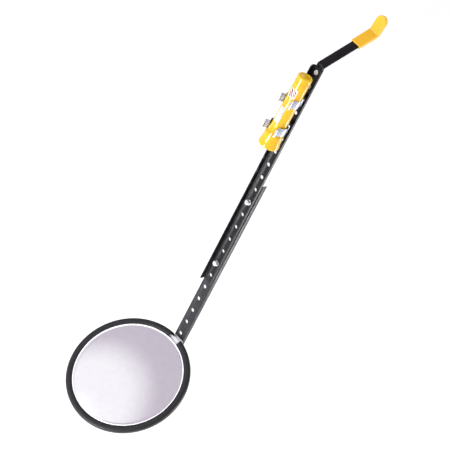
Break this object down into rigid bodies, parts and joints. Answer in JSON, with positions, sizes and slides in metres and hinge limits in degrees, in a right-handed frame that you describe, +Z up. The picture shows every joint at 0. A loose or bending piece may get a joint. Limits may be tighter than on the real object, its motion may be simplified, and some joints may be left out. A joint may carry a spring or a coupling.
{
  "type": "inspection mirror",
  "caption": "Round convex inspection mirror on a telescoping arm of punched steel channel, with a torch in spring clips and a bent grip.",
  "frame": {"origin": "centre of the first free hole below the torch in the upper channel, on the face where the two channels meet", "axes": "+Z up the arm towards the handle, -Y towards the torch side, which the mirror faces upwards from, +X to the right seen from that side"},
  "size_m": [0.258, 0.324, 0.972],
  "materials": {
    "black_coat": "satin powder coat, black",
    "white_coat": "satin enamel, white",
    "zinc": "bright zinc plate",
    "spring_steel": "bright plated spring steel",
    "grip_yellow": "dipped soft vinyl, yellow",
    "torch_yellow": "moulded plastic, yellow",
    "mirror_glass": "silvered convex glass",
    "pan_white": "moulded board, white",
    "trim_rubber": "extruded rubber, black",
    "clear_plastic": "clear moulded plastic",
    "reflector": "metallised plastic",
    "bulb_glass": "clear glass",
    "black_plastic": "moulded plastic, black",
    "cell_wrap": "printed steel jacket",
    "brass": "brass strip",
    "switch_white": "moulded plastic, white",
    "label": "printed film, white with red marks"
  },
  "bodies": {
    "arm": {"upper_channel": "black_coat", "handle_bar": "black_coat", "grip_sleeve": "grip_yellow", "handle_screws": "zinc", "handle_washers": "zinc", "handle_nuts": "zinc", "clip_upper": "spring_steel", "clip_lower": "spring_steel", "clip_screws": "zinc", "clip_nuts": "zinc", "clamp_bolts": "zinc", "clamp_washers": "zinc"},
    "mirror_head": {"lower_channel": "black_coat", "mirror_bracket": "white_coat", "bracket_studs": "black_coat", "bracket_nuts": "zinc", "mirror_glass": "mirror_glass", "mirror_pan": "pan_white", "edge_trim": "trim_rubber", "mirror_rivets": "zinc"},
    "nut_upper": {"clamp_nut_upper": "zinc"},
    "nut_lower": {"clamp_nut_lower": "zinc"},
    "torch": {"torch_barrel": "torch_yellow", "switch_plate": "switch_white", "torch_label": "label", "cell_front": "cell_wrap", "cell_rear": "cell_wrap", "contact_strip": "brass", "torch_bulb": "bulb_glass", "bulb_holder": "black_plastic"},
    "torch_head": {"torch_bezel": "torch_yellow", "torch_lens": "clear_plastic", "torch_reflector": "reflector"},
    "torch_tail": {"tail_cap": "torch_yellow", "tail_spring": "zinc"},
    "switch": {"switch_slider": "switch_white"}
  },
  "joints": [
    {"name": "arm_slide", "type": "slide", "parent": "arm", "child": "mirror_head", "axis": [0, 0, -1], "range_m": [-0.127, 0.0635]},
    {"name": "upper_nut_turn", "type": "hinge", "parent": "arm", "child": "nut_upper", "pos_m": [0, -0.0053, -0.09525], "axis": [0, -1, 0], "continuous": true},
    {"name": "lower_nut_turn", "type": "hinge", "parent": "arm", "child": "nut_lower", "pos_m": [0, -0.0053, -0.254], "axis": [0, -1, 0], "continuous": true},
    {"name": "torch_turn", "type": "hinge", "parent": "arm", "child": "torch", "pos_m": [0, -0.0276, 0.2163], "axis": [0, 0.0391, 0.9992], "continuous": true},
    {"name": "head_turn", "type": "hinge", "parent": "torch", "child": "torch_head", "pos_m": [0, -0.0276, 0.2163], "axis": [0, 0.0391, 0.9992], "continuous": true},
    {"name": "tail_turn", "type": "hinge", "parent": "torch", "child": "torch_tail", "pos_m": [0, -0.0276, 0.2163], "axis": [0, 0.0391, 0.9992], "continuous": true},
    {"name": "switch_slide", "type": "slide", "parent": "torch", "child": "switch", "axis": [0, -0.0391, -0.9992], "range_m": [0, 0.007]}
  ]
}
